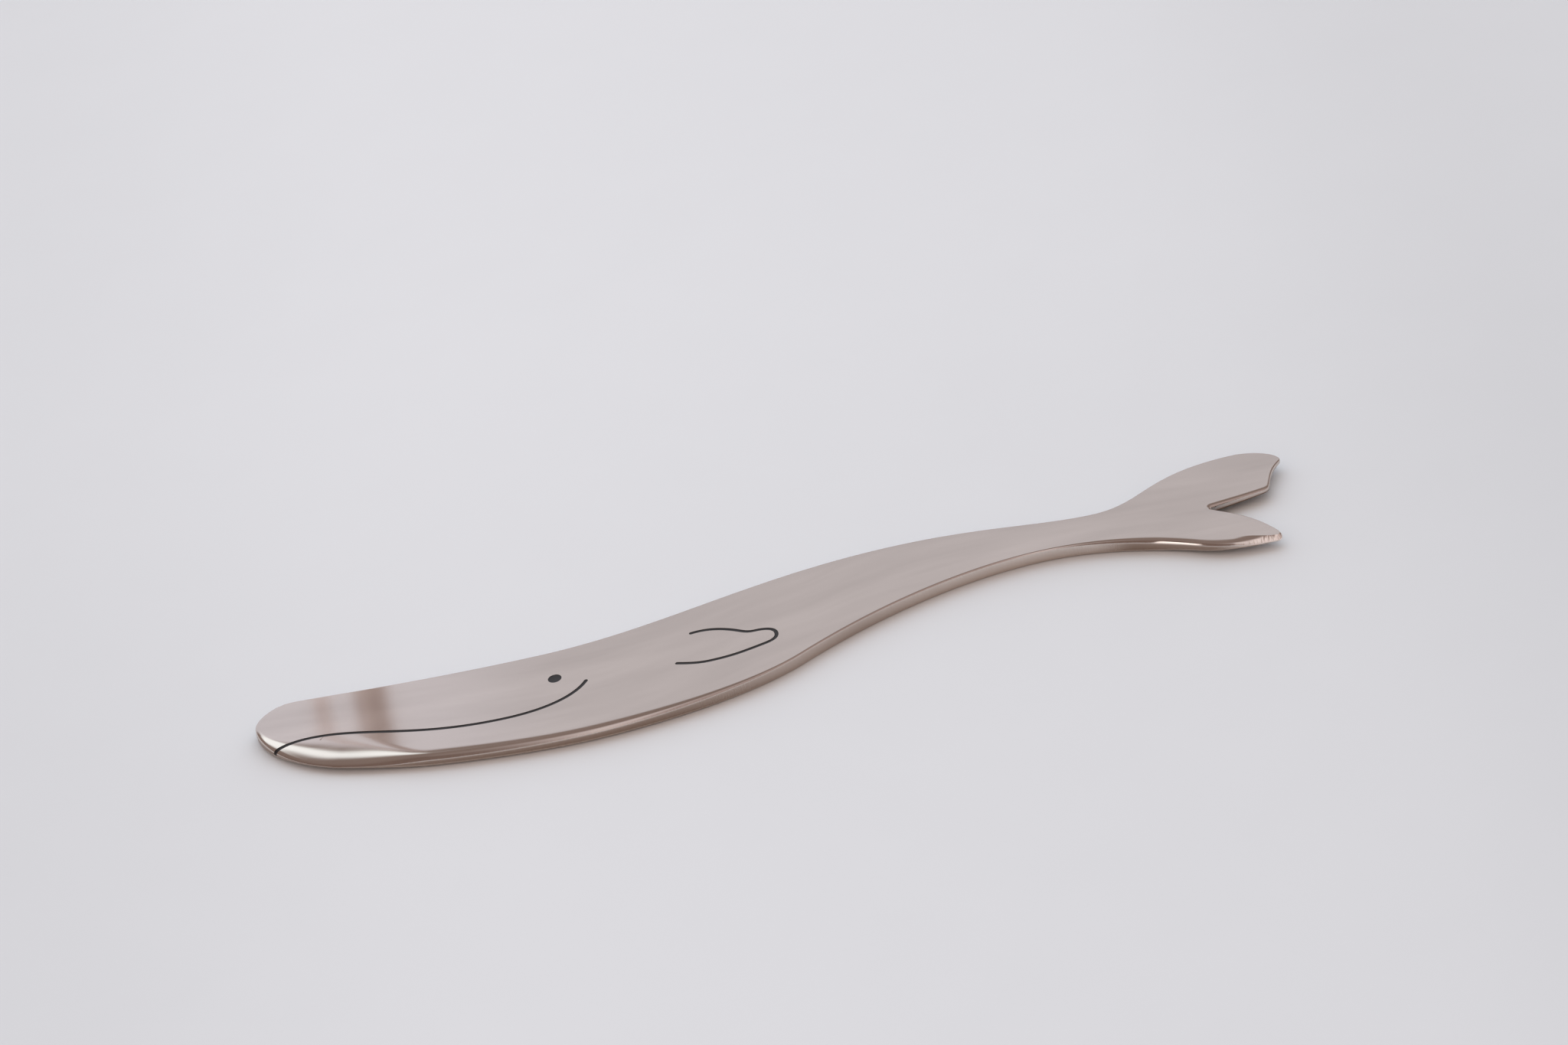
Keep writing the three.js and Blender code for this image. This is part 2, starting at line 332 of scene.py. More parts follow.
class Recipe(Board):
    """A Geometry Nodes tree with named inputs, run on one object and baked to a plain mesh."""

    def __init__(self, name: str, sizes: Sequence[str], counts: Sequence[str] = ()) -> None:
        """Makes the tree and its interface, with a material as the last input.

        Args:
            name: The tree's name.
            sizes: The names of the inputs that are numbers.
            counts: The names of the inputs that are whole numbers.
        """
        super().__init__(bpy.data.node_groups.new(name, "GeometryNodeTree"))
        self.tree.is_modifier = True
        face = self.tree.interface
        face.new_socket("Geometry", in_out="INPUT", socket_type="NodeSocketGeometry")
        face.new_socket("Geometry", in_out="OUTPUT", socket_type="NodeSocketGeometry")
        kinds = {**dict.fromkeys(counts, "Int"), **dict.fromkeys(sizes, "Float"), "Material": "Material"}
        self.keys = {}
        for title, kind in kinds.items():
            socket = face.new_socket(title, in_out="INPUT", socket_type="NodeSocket" + kind)
            self.keys[title] = socket.identifier
        self.given = self.tree.nodes.new("NodeGroupInput")

    def value(self, title: str) -> Wire:
        """Gives a named input as a number."""
        return Wire(self, self.given.outputs[title])

    def field(self, name: str, kind: str = "FLOAT") -> Socket:
        """Reads a named attribute of the guide line."""
        node = self.add("GeometryNodeInputNamedAttribute", {"Name": name}, data_type=kind)
        return node.outputs["Attribute"]

    def end(self, geometry: Socket) -> None:
        """Closes the tree with its instances made real and its material set."""
        real = self.give("GeometryNodeRealizeInstances", {"Geometry": geometry})
        sockets = {"Geometry": real, "Material": self.given.outputs["Material"]}
        self.add("NodeGroupOutput", {0: self.give("GeometryNodeSetMaterial", sockets)})

    def run(self, piece: Piece, values: Mapping[str, Any]) -> None:
        """Runs the tree on an object and bakes the result into its mesh.

        Args:
            piece: The object that holds the guide line.
            values: The value of each named input.
        """
        modifier = piece.modifiers.new(self.tree.name, "NODES")
        modifier.node_group = self.tree
        for title, value in values.items():
            modifier[self.keys[title]] = value
        bake(piece)


# Meshes


def bake(piece: Piece) -> None:
    """Applies every modifier of an object to its mesh and removes them.

    Args:
        piece: The object.
    """
    depsgraph = bpy.context.evaluated_depsgraph_get()
    made = bpy.data.meshes.new_from_object(
        piece.evaluated_get(depsgraph), preserve_all_data_layers=True, depsgraph=depsgraph
    )
    piece.modifiers.clear()
    spent = piece.data
    piece.data = made
    made.name = piece.name
    bpy.data.meshes.remove(spent)


def combine(piece: Piece, operation: str, others: Sequence[Piece]) -> None:
    """Runs one boolean for each of a row of objects.

    Args:
        piece: The object that changes.
        operation: The modifier's operation.
        others: The objects that it is cut by or kept inside.
    """
    for other in others:
        modifier = piece.modifiers.new(other.name, "BOOLEAN")
        modifier.operation = operation
        modifier.solver = "EXACT"
        modifier.object = other
    bake(piece)


def new_piece(name: str, mesh: Mesh) -> Piece:
    """Links a mesh into the scene.

    Args:
        name: The new object's name.
        mesh: Its mesh.

    Returns:
        The object, at the origin.
    """
    piece = bpy.data.objects.new(name, mesh)
    bpy.context.scene.collection.objects.link(piece)
    return piece


def store(mesh: Mesh, name: str, values: np.ndarray) -> None:
    """Keeps a number, a vector or a choice for each point of a mesh.

    Args:
        mesh: The mesh.
        name: The attribute's name.
        values: One row for each point.
    """
    key, kind = ("vector", "FLOAT_VECTOR") if values.ndim > 1 else ("value", "FLOAT")
    if values.dtype == bool:
        kind = "BOOLEAN"
    mesh.attributes.new(name, kind, "POINT").data.foreach_set(key, values.ravel())


def tidy_edges(mesh: Mesh) -> None:
    """Marks the sharp edges of a mesh and shades the rest smooth.

    Args:
        mesh: The mesh.
    """
    work = bmesh.new()
    work.from_mesh(mesh)
    for edge in work.edges:
        edge.smooth = len(edge.link_faces) == 2 and edge.calc_face_angle(0.0) < SHARP
    for face in work.faces:
        face.smooth = True
    work.to_mesh(mesh)
    work.free()


def hand_over(piece: Piece, node: str) -> None:
    """Lets a piece stand for a node of the frame.

    Args:
        piece: The finished piece.
        node: The node that it replaces.
    """
    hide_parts(node)
    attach(piece, BODY)
    log.info("%s: %d vertices, for %s", piece.name, len(piece.data.vertices), node)


# Drawn lines


@dataclass(frozen=True)
class Knot:
    """A place that a line passes, in millimetres from the tip of the nose.

    It holds the heading there in degrees, how long the line keeps it before and after as shares of the way
    to its neighbours, and on the outline the share of the snout's grind.
    """

    x: float
    y: float
    heading: float
    arrive: float = 0.4
    leave: float = 0.4
    grind: float = 0.0

    @property
    def place(self) -> np.ndarray:
        """The place as an array."""
        return np.array([self.x, self.y])

    @property
    def along(self) -> np.ndarray:
        """The heading as a unit vector."""
        angle = math.radians(self.heading)
        return np.array([math.cos(angle), math.sin(angle)])


def round_corner(
    x: float,
    y: float,
    radius: float,
    heading: float,
    leaving: float,
    arrive: float = 0.4,
    leave: float = 0.4,
    grind: float = 0.0,
) -> list[Knot]:
    """Gives the two knots of a round corner about a centre. A corner that turns clockwise is hollow.

    Args:
        x: The centre's place along the knife.
        y: The centre's place across it.
        radius: The corner's radius.
        heading: The line's heading before the corner.
        leaving: Its heading after it.
        arrive: How long the line keeps its heading before the corner.
        leave: How long it keeps it after the corner.
        grind: The share of the snout's grind round the corner.

    Returns:
        The knots where the round starts and ends.
    """
    turn = math.radians(leaving - heading)
    pull = 2 * math.tan(abs(turn) / 4) / (3 * math.sin(abs(turn) / 2))
    reach = math.copysign(radius, turn)
    places = []
    for degrees in (heading, leaving):
        angle = math.radians(degrees)
        places.append((x + reach * math.sin(angle), y - reach * math.cos(angle)))
    first = Knot(*places[0], heading, arrive, pull, grind)
    return [first, Knot(*places[1], leaving, pull, leave, grind)]


@dataclass(frozen=True)
class Line:
    """A drawn line as evenly spaced points: places, unit directions, way from the start and grind."""

    places: np.ndarray
    along: np.ndarray
    way: np.ndarray
    grind: np.ndarray

    @property
    def inward(self) -> np.ndarray:
        """The direction to the left of the line, which on the outline is into the steel."""
        return np.stack([-self.along[:, 1], self.along[:, 0]], axis=1)


def draw(knots: Sequence[Knot], step: float, closed: bool = False, least: int = 12) -> Line:
    """Draws a smooth line through knots.

    Args:
        knots: The knots in order.
        step: The longest step between points, in millimetres.
        closed: Whether the line runs back to its first knot.
        least: The fewest steps between two knots.

    Returns:
        The line. An open one ends on its last knot.
    """
    ends = list(knots[1:]) + ([knots[0]] if closed else [])
    fine = np.linspace(0.0, 1.0, CURVE_POINTS)
    places, along, way, grind = [], [], [], []
    start = 0.0
    for number, (one, two) in enumerate(zip(knots, ends)):
        span = np.linalg.norm(two.place - one.place)
        hull = np.array([
            one.place,
            one.place + one.along * span * one.leave,
            two.place - two.along * span * two.arrive,
            two.place,
        ])
        steps = np.linalg.norm(np.diff(bend(hull, fine), axis=0), axis=1)
        reached = np.concatenate([[0.0], np.cumsum(steps)])
        count = max(least, math.ceil(reached[-1] / step))
        last = not closed and number == len(ends) - 1
        share = np.arange(count + last) / count
        at = np.interp(share * reached[-1], reached, fine)
        tangent = slope(hull, at)
        places.append(bend(hull, at))
        along.append(tangent / np.linalg.norm(tangent, axis=1, keepdims=True))
        way.append(start + share * reached[-1])
        grind.append(one.grind + (two.grind - one.grind) * share * share * (3 - 2 * share))
        start += reached[-1]
    return Line(*(np.concatenate(rows) for rows in (places, along, way, grind)))


def bend(hull: np.ndarray, at: np.ndarray) -> np.ndarray:
    """Gives points on a cubic curve.

    Args:
        hull: Its four control points.
        at: Shares along it.

    Returns:
        One point for each share.
    """
    t = at[:, None]
    return (
        hull[0] * (1 - t) ** 3
        + 3 * hull[1] * (1 - t) ** 2 * t
        + 3 * hull[2] * (1 - t) * t ** 2
        + hull[3] * t ** 3
    )


def slope(hull: np.ndarray, at: np.ndarray) -> np.ndarray:
    """Gives the direction of a cubic curve, not yet of unit length.

    Args:
        hull: Its four control points.
        at: Shares along it.

    Returns:
        One vector for each share.
    """
    t = at[:, None]
    one, two, three = np.diff(hull, axis=0)
    return one * (1 - t) ** 2 + 2 * two * (1 - t) * t + three * t ** 2


class LineEnd(Enum):
    """How an engraved line ends."""

    ROUND = "round, on the flat of the face"
    RUNS_OUT = "open, over the edge of the steel"


# Finishes


@dataclass(frozen=True)
class SteelFinish:
    """Polished stainless steel: a soft mirror, clouded lengthwise, with an edge dressed across.

    The buffed face is crowned a little: crown is how far its normal leans out where it meets the edge. Spine
    and girth give the middle of the body and half its width along the knife, so that the grain follows it.
    The lower lobe's facet keeps the marks of a grinding wheel and is lightened in colour as a painted
    highlight.
    The lower half of the notch's walls is left rougher, as cut, and it and the walls of the blade and the
    shoulder are darkened to a brown as painted shade. Swings are how often a grain changes per metre,
    leans are how upright the normal is where a region starts and ends, the bumps are a strength and a height,
    and what says from or to is a stretch in metres round the outline, past the heel or the shoulder.
    """

    colour: Colour = (0.66, 0.58, 0.53)
    # Painted shade: a dark brown for the shaded walls, and how much of it the walls of the blade and the
    # shoulder take.
    painted_shade_colour: Colour = (0.26, 0.175, 0.13)
    painted_shade: float = 0.8
    crown: float = 0.028
    cloud_swings: Span = (34.0, 170.0)
    streak_swings: Span = (60.0, 1500.0)
    streak_shift: float = 7 / 60
    hair_swings: Place = (300.0, 14000.0, 14000.0)
    dressing_swings: Span = (5200.0, 0.8)
    wheel_swings: Span = (1900.0, 0.6)
    cloud_tone: float = 0.3
    streak_tone: float = 0.03
    dressing_tone: float = 0.25
    wheel_tone: float = 0.5
    # Painted highlight: how much lighter the lower lobe's facet is.
    painted_highlight_lift: float = 0.45
    roughness: float = 0.1
    edge_roughness: float = 0.2
    grain_roughness: float = 0.03
    dressing_roughness: float = 0.12
    cut_roughness: float = 0.15
    hair_relief: float = 0.25
    grain_bump: Span = (0.12, 0.00002)
    wheel_bump: Span = (1.0, 0.00007)
    edge_lean: Span = (0.45, 0.9)
    wheel_lean: Span = (0.8, 0.95)
    # Painted shade lies on walls within the second of these leans, and, with more roughness, low on the
    # notch's walls within the third.
    wall_lean: Span = (0.06, 0.32)
    raw_shade_lean: Span = (-0.25, 0.05)
    wheel_from: Span = (0.005, 0.012)
    # Painted shade lies on the walls from the nose, fades out past the heel in these two steps, and lies
    # again on the shoulder's walls.
    blade_to: tuple[Span, Span] = ((-0.03, 0.0), (0.008, 0.03))
    blade_losses: Span = (0.65, 0.35)
    shoulder_from: Span = (-0.018, -0.01)
    shoulder_to: Span = (0.002, 0.008)
    spine: tuple[Span, ...] = (
        (0.0, -4.5), (24.0, -7.1), (52.0, -9.4), (87.0, -1.7),
        (106.0, 3.2), (128.0, 4.1), (160.0, 2.0), (170.0, 2.0),
    )
    girth: tuple[Span, ...] = (
        (0.0, 6.0), (12.0, 9.7), (24.0, 11.2), (52.0, 12.1), (87.0, 11.6), (106.0, 7.9),
        (128.0, 4.1), (138.0, 3.9), (150.0, 8.3), (160.0, 12.0), (170.0, 12.0),
    )

    def material(self, datum: Vector, heel: float, ground: Span, raw_and_shaded: Span) -> Material:
        """Makes the steel's material.

        Args:
            datum: The tip of the nose in the frame, from which spine and girth are given.
            heel: Where the blade ends, in metres round the outline from the nose.
            ground: The stretch of the outline with the lower lobe's ground facet and its painted highlight,
                in the same way.
            raw_and_shaded: The stretch whose lower walls are left rougher and darkened as painted shade.

        Returns:
            The material.
        """
        made, board = new_material("polished_steel")
        x, y, z = board.place()
        way = x - datum.x
        off_spine = y - self._along(board, way, self.spine) - datum.y
        cloud = board.noise((x, off_spine), self.cloud_swings)
        streak = board.noise((x + self.streak_shift, off_spine), self.streak_swings)
        hair = board.noise((x, off_spine, z), self.hair_swings, detail=1.0)
        along, across, _ = board.split(board.give("ShaderNodeUVMap", uv_map=EDGE_MAP))
        dressing = board.noise((along, across), self.dressing_swings, rough=0.6, seed=3.0)
        wheel = board.noise((along, across), self.wheel_swings, detail=1.0, seed=5.0)

        upright = board.split(board.add("ShaderNodeNewGeometry").outputs["Normal"])[2]
        leans = (self.edge_lean, self.wheel_lean, self.wall_lean)
        edge, sloped, wall = (1 - abs(upright).rise(*lean) for lean in leans)
        start = ground[0]
        # Painted highlight: the facet's colour is lifted; its wheel marks are random tone and bumps.
        facet_marks_and_highlight = sloped * along.between(shifted(self.wheel_from, start), (ground[1] - MM, ground[1]))
        # Painted shade: the notch's lower walls, also made rougher, and the walls of the blade and the
        # shoulder are mixed toward a dark brown.
        cut = along.between((raw_and_shaded[0], raw_and_shaded[0] + MM), (raw_and_shaded[1] - MM, raw_and_shaded[1]))
        cut = cut * (1 - upright.rise(*self.raw_shade_lean))
        shaded_walls = along.between(shifted(self.shoulder_from, start), shifted(self.shoulder_to, start)) + 1
        for fade, loss in zip(self.blade_to, self.blade_losses):
            shaded_walls = shaded_walls - along.rise(*shifted(fade, heel)) * loss
        cut = cut + wall * shaded_walls * self.painted_shade

        tone = 1 + (cloud - 0.5) * self.cloud_tone + (streak - 0.5) * self.streak_tone
        tone = tone + edge * (dressing - 0.5) * self.dressing_tone
        tone = tone + facet_marks_and_highlight * ((wheel - 0.5) * self.wheel_tone + self.painted_highlight_lift)
        roughness = self.roughness + (streak + cloud - 1) * self.grain_roughness + cut * self.cut_roughness
        harsher = self.edge_roughness - self.roughness
        roughness = roughness + edge * (harsher + (dressing - 0.5) * self.dressing_roughness)

        relief = hair * (1 - edge) * self.hair_relief + dressing * edge
        normal = board.bump(relief, *self.grain_bump)
        normal = board.bump(wheel * facet_marks_and_highlight, *self.wheel_bump, normal)
        out = (off_spine / self._along(board, way, self.girth)).most(-1.0).least(1.0)
        fall = out * out * out * (1 - edge) * self.crown
        crowned = board.plus(normal, board.join(0.0, fall, 0.0))
        # The base colour carries the painted highlight on the facet and the painted shade on the walls.
        board.surface({
            "Base Color": board.blend(cut, board.scale(self.colour, tone), self.painted_shade_colour),
            "Metallic": 1.0,
            "Roughness": roughness,
            "Normal": board.give("ShaderNodeVectorMath", {0: crowned}, operation="NORMALIZE"),
        })
        return made

    @staticmethod
    def _along(board: Board, way: Wire, places: Sequence[Span]) -> Wire:
        """Reads a size that changes along the knife.

        Args:
            board: The material's tree.
            way: The distance from the tip of the nose.
            places: Distance and size at chosen places, in millimetres.

        Returns:
            The size there, in metres.
        """
        length = places[-1][0]
        low, high = -15.0, 15.0
        points = [(place / length, (size - low) / (high - low)) for place, size in places]
        node = board.add("ShaderNodeFloatCurve", {"Value": way / (length * MM)}, curve=points)
        return board.out(node) * ((high - low) * MM) + low * MM


@dataclass(frozen=True)
class EnamelFinish:
    """Black enamel, wiped down into its lines and a little dulled."""

    colour: Colour = (0.017, 0.014, 0.015)
    shades: Span = (0.7, 1.4)
    speck_swings: float = 2500.0
    drift_swings: float = 300.0
    roughness: float = 0.42
    drift_roughness: float = 0.2
    specular: float = 0.35
    speck_bump: Span = (0.2, 0.00001)

    def material(self) -> Material:
        """Makes the enamel's material."""
        made, board = new_material("black_enamel")
        place = board.place()
        speck = board.noise(place, [self.speck_swings] * 3)
        drift = board.noise(place, [self.drift_swings] * 3, detail=1.0)
        dark, light = (shade(self.colour, share) for share in self.shades)
        board.surface({
            "Base Color": board.blend((speck + drift) * 0.5, dark, light),
            "Roughness": self.roughness + (drift - 0.5) * self.drift_roughness,
            "Specular IOR Level": self.specular,
            "Normal": board.bump(speck, *self.speck_bump),
        })
        return made


@dataclass(frozen=True)
class TableFinish:
    """A plain pale table top with a faint mottle and painted falloff of light: lighter to the far side,
    darker to the right and at both sides.
    """

    colour: Colour = (0.7, 0.7, 0.735)
    level: float = 0.99
    mottle: float = 0.02
    mottle_swings: Span = (60.0, 60.0)
    # Painted light: the table is lighter towards the far side.
    far: float = 0.03
    far_from: Span = (0.0, 0.12)
    # Painted shade: darker to the right, and darker at both sides.
    painted_shade: float = 0.05
    dull_from: Span = (-0.05, 0.13)
    sides: float = 0.065
    left_to: Span = (-0.135, -0.05)
    right_from: Span = (0.07, 0.14)
    roughness: float = 0.7
    specular: float = 0.2

    def material(self) -> Material:
        """Makes the table's material."""
        made, board = new_material("pale_table")
        x, y, _ = board.place()
        mottle = board.noise((x, y), self.mottle_swings, detail=3.0)
        # Painted light falloff: lighter far away, darker to the right and at both sides.
        sides = x.rise(*self.right_from) + 1 - x.rise(*self.left_to)
        tone = self.level + mottle * self.mottle + y.rise(*self.far_from) * self.far
        tone = tone - x.rise(*self.dull_from) * self.painted_shade - sides * self.sides
        board.surface({
            "Base Color": board.scale(self.colour, tone),
            "Roughness": self.roughness,
            "Specular IOR Level": self.specular,
        })
        return made


# The knife


@dataclass
class SteelBlank:
    """The knife itself: blade, grip and fluke in one sheet, with a grind that fades round the belly.

    The shares are of the snout's grind, the shoulder and the tips are given from the notch, and the facet on
    the lower lobe starts between two distances past the shoulder.
    """

    thickness: float = 2.2
    plain_edge: float = 0.4
    snout_grind: float = 7.0
    under_grind: float = 3.0
    nose_share: float = 0.08
    throat_share: float = 0.28
    belly_share: float = 0.2
    shoulder_share: float = 0.15
    lobe_share: float = 0.2
    tip_share: float = 0.0
    notch_share: float = 0.09
    facet_from: Span = (6.0, 13.0)
    facet_drop: float = 0.5
    relief_ahead: float = 12.0
    relief_angle: float = 3.4
    heel_x: float = 87.55
    heel_y: float = -13.3
    notch_x: float = 156.05
    notch_y: float = 1.75
    shoulder: Span = (-4.1, -9.25)
    low_tip: Span = (9.0, -11.4)
    high_tip: Span = (12.4, 8.7)
    step: float = 0.3
    rings: int = 14
    hold: float = 0.05
    steepest: float = 0.25
    finish: SteelFinish = field(default_factory=SteelFinish)
    node: str = "steel_blank"

    def __post_init__(self) -> None:
        """Draws the outline and finds the tip of the nose in the frame."""
        self.outline = draw(self.knots(), self.step, closed=True)
        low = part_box(self.node)[0]
        lowest = self.outline.places.min(axis=0) * MM
        self.datum = Vector((low.x - lowest[0], low.y - lowest[1], low.z))

    def knots(self) -> list[Knot]:
        """Gives the outline's knots, counter-clockwise from the nose."""
        x, y = self.notch_x, self.notch_y
        shoulder = x + self.shoulder[0], y + self.shoulder[1]
        return [
            Knot(0, 0, -90, 0.3, 0.33, self.nose_share),
            Knot(12.3, -14.4, -23, 0.29, 0.285, 1.0),
            Knot(27.55, -18.83, -11.5, 0.366, 0.353, self.throat_share),
            Knot(52.1, -21.55, 0, 0.275, 0.23, self.belly_share),
            Knot(self.heel_x, self.heel_y, 32, 0.33, 0.42),
            Knot(self.heel_x + 40, 0, 0, 0.25, 0.31),
            Knot(*shoulder, -31, 0.36, 0.404, self.shoulder_share),
            Knot(x + 2.41, y - 11.68, -9.1, 0.311, 0.299, self.lobe_share),
            *round_corner(x + 8.35, y - 11.45, 0.75, -4, 116, 0.388, 0.42, self.tip_share),
            *round_corner(x, y, 0.4, 142, 8, grind=self.notch_share),
            *round_corner(x + 8.5, y + 3.0, 1.3, 11, 71, grind=self.notch_share),
            *round_corner(x + 11.9, y + 9.55, 1.0, 47, 112, 0.4, 0.3, self.tip_share),
            Knot(x + 5.8, y + 13.6, 180, 0.28, 0.58),
            Knot(self.heel_x + 50, 7.4, 180, 0.33, 0.26),
            Knot(self.heel_x + 17.5, 11.1, 180, 0.46),
            Knot(46.6, 2.6, 180, 0.34, 0.5),
            Knot(6, 5, 180, 0.1, 0.36),
        ]

    @property
    def fold_x(self) -> float:
        """Where the underside starts to rise under the fluke."""
        return self.notch_x - self.relief_ahead

    def to_frame(self, places: np.ndarray, heights: np.ndarray) -> np.ndarray:
        """Moves places in millimetres from the nose, and their heights, into the frame."""
        return np.column_stack([places, heights]) * MM + np.array(self.datum)

    def height(self, place: np.ndarray) -> tuple[float, np.ndarray]:
        """Finds the upper surface of the uncut steel. Past the outline the grind carries on down.

        Args:
            place: A place in plan, in millimetres from the nose.

        Returns:
            The height over the table, and how the surface climbs along X and Y.
        """
        nearest = int(np.argmin(np.sum((self.outline.places - place) ** 2, axis=1)))
        share = self.outline.grind[nearest]
        width = self.plain_edge + (self.snout_grind - self.plain_edge) * share
        inward = self.outline.inward[nearest]
        inset = float(np.dot(place - self.outline.places[nearest], inward))
        if inset >= width:
            return self.thickness, np.zeros(2)
        into, up = self.section(np.linspace(self.steepest, 1.0, SECTION_POINTS), share)
        depths, heights = width * into, self.thickness / 2 * (1 + up)
        steep = float((heights[1] - heights[0]) / (depths[1] - depths[0]))
        if inset < depths[0]:
            return float(heights[0] + (inset - depths[0]) * steep), inward * steep
        climbs = np.gradient(heights, depths)
        return float(np.interp(inset, depths, heights)), inward * float(np.interp(inset, depths, climbs))

    @staticmethod
    def section(turn: Any, grind: Any, facet: Any = 0.0) -> tuple[Any, Any]:
        """Gives the edge's section as one cubic curve from the middle of the wall to a face.

        A plain edge leaves the wall stiffly and turns late, and the snout's grind eases in from low down.

        Args:
            turn: Where on the curve, from 0 in the middle of the wall to 1 on the face, as numbers or a wire.
            grind: The share of the snout's grind.
            facet: How far the curve is ground off to a straight facet, from 0 to 1.

        Returns:
            How far into the steel, as a share of the rounding's width, and how far from the middle of the
            wall to the face, as a share of that way.
        """
        soft = grind * (2 - grind)
        ease = SNOUT_EASE * soft
        stiff = PLAIN_STIFFNESS - SNOUT_LOSS * soft
        rest = 1 - turn
        into = 3 * ease * rest * turn * turn + turn * turn * turn
        up = 3 * stiff * rest * rest * turn + 3 * rest * turn * turn + turn * turn * turn
        return into + (turn - into) * facet, up + (turn - up) * facet

    def stretches(self) -> tuple[float, Span, Span]:
        """Gives the heel, the coarsely ground stretch and the stretch with painted shade low on its walls, in
        metres round the outline.
        """
        notch = np.array([self.notch_x, self.notch_y])
        spots = [notch + spot for spot in (self.shoulder, self.low_tip, self.high_tip)]
        spots.insert(0, np.array([self.heel_x, self.heel_y]))
        nearest = [np.argmin(np.linalg.norm(self.outline.places - spot, axis=1)) for spot in spots]
        heel, shoulder, low_tip, high_tip = (float(self.outline.way[spot] * MM) for spot in nearest)
        return heel, (shoulder, low_tip), (low_tip, high_tip)

    def facets(self) -> np.ndarray:
        """Gives how far each point of the outline is ground off to the lower lobe's facet."""
        _, (shoulder, tip), _ = self.stretches()
        fade = shoulder + np.array(self.facet_from) * MM
        return np.interp(self.outline.way * MM, [*fade, tip - MM, tip + MM], [0.0, 1.0, 1.0, 0.0])

    def guide(self) -> Mesh:
        """Makes the outline as a loop of edges that holds what the skin needs to know at each point."""
        line = self.outline
        count = len(line.places)
        mesh = bpy.data.meshes.new("outline")
        points = self.to_frame(line.places, np.zeros(count))
        mesh.from_pydata(points.tolist(), [(n, (n + 1) % count) for n in range(count)], [])
        behind = np.nonzero(line.places[:, 0] > self.fold_x)[0]
        fluke = np.zeros(count, dtype=bool)
        fluke[behind[0]:behind[-1] + 1] = True
        store(mesh, "inward", np.column_stack([line.inward, np.zeros(count)]))
        store(mesh, "grind", line.grind)
        store(mesh, "facet", self.facets())
        store(mesh, "way", line.way * MM)
        store(mesh, "fluke", fluke)
        store(mesh, "fluke_rim", fluke | np.roll(fluke, 1) | np.roll(fluke, -1))
        return mesh

    def sizes(self) -> dict[str, float]:
        """Gives the sizes of the skin, in metres."""
        line = self.outline
        gap = np.linalg.norm(line.places[0] - line.places[-1])
        return {
            "Thickness": self.thickness * MM,
            "Plain edge": self.plain_edge * MM,
            "Snout grind": self.snout_grind * MM,
            "Under grind": self.under_grind * MM,
            "Facet drop": self.facet_drop,
            "Hold": self.hold * MM,
            "Fold": self.datum.x + self.fold_x * MM,
            "Relief": math.tan(math.radians(self.relief_angle)),
            "Way round": (line.way[-1] + gap) * MM,
        }

    def skin_recipe(self) -> Recipe:
        """Makes the tree that lofts the edge along the outline and closes it with lids."""
        recipe = Recipe("edge_skin", list(self.sizes()), ("Steps", "Rings"))
        guide = recipe.given.outputs["Geometry"]
        steps, rings = recipe.value("Steps"), recipe.value("Rings")
        count = rings * 2 + 1
        size = {"Size X": 1.0, "Size Y": 1.0, "Vertices X": steps + 1, "Vertices Y": count}
        grid = recipe.add("GeometryNodeMeshGrid", size).outputs["Mesh"]
        index = recipe.out(recipe.add("GeometryNodeInputIndex"))
        column = ((index + 0.5) / count).floor()
        level = index - column * count
        spot = column.modulo(steps)

        def sample(value: Socket, kind: str = "FLOAT") -> Socket:
            """Reads a value of the guide at this column."""
            sockets = {"Geometry": guide, "Value": value, "Index": spot}
            return recipe.give("GeometryNodeSampleIndex", sockets, data_type=kind, domain="POINT")

        place = sample(recipe.give("GeometryNodeInputPosition"), "FLOAT_VECTOR")
        inward = sample(recipe.field("inward", "FLOAT_VECTOR"), "FLOAT_VECTOR")
        grind, facet, way = (Wire(recipe, sample(recipe.field(name))) for name in ("grind", "facet", "way"))
        turn = (level - rings) / (rings - 1)
        inset, rise = self._edge(recipe, turn, grind, facet)
        rise = rise - facet * recipe.value("Facet drop") * (1 - rise * rise)
        flat = recipe.plus(place, recipe.scale(inward, inset))
        low = self._lift(recipe, flat)
        half = (recipe.value("Thickness") - low) / 2
        target = recipe.plus(flat, recipe.join(0.0, 0.0, low + half * (1 + rise)))
        moved = recipe.give("GeometryNodeSetPosition", {"Geometry": grid, "Position": target})
        last = column.over(steps - 0.5)
        spread = recipe.join(way + last * recipe.value("Way round"), turn, 0.0)
        point = {"data_type": "FLOAT_VECTOR", "domain": "POINT"}
        spread = recipe.give("GeometryNodeFieldOnDomain", {0: spread}, **point)
        corner = {"data_type": "FLOAT2", "domain": "CORNER"}
        sockets = {"Geometry": moved, "Name": EDGE_MAP, "Value": spread}
        mapped = recipe.give("GeometryNodeStoreNamedAttribute", sockets, **corner)
        smooth = recipe.give("GeometryNodeSetShadeSmooth", {"Geometry": mapped, "Shade Smooth": True})
        whole = recipe.give("GeometryNodeJoinGeometry", {0: [smooth, *self._lids(recipe, guide)]})
        closed = {"Geometry": whole, "Distance": SAME_PLACE}
        recipe.end(recipe.give("GeometryNodeMergeByDistance", closed))
        return recipe

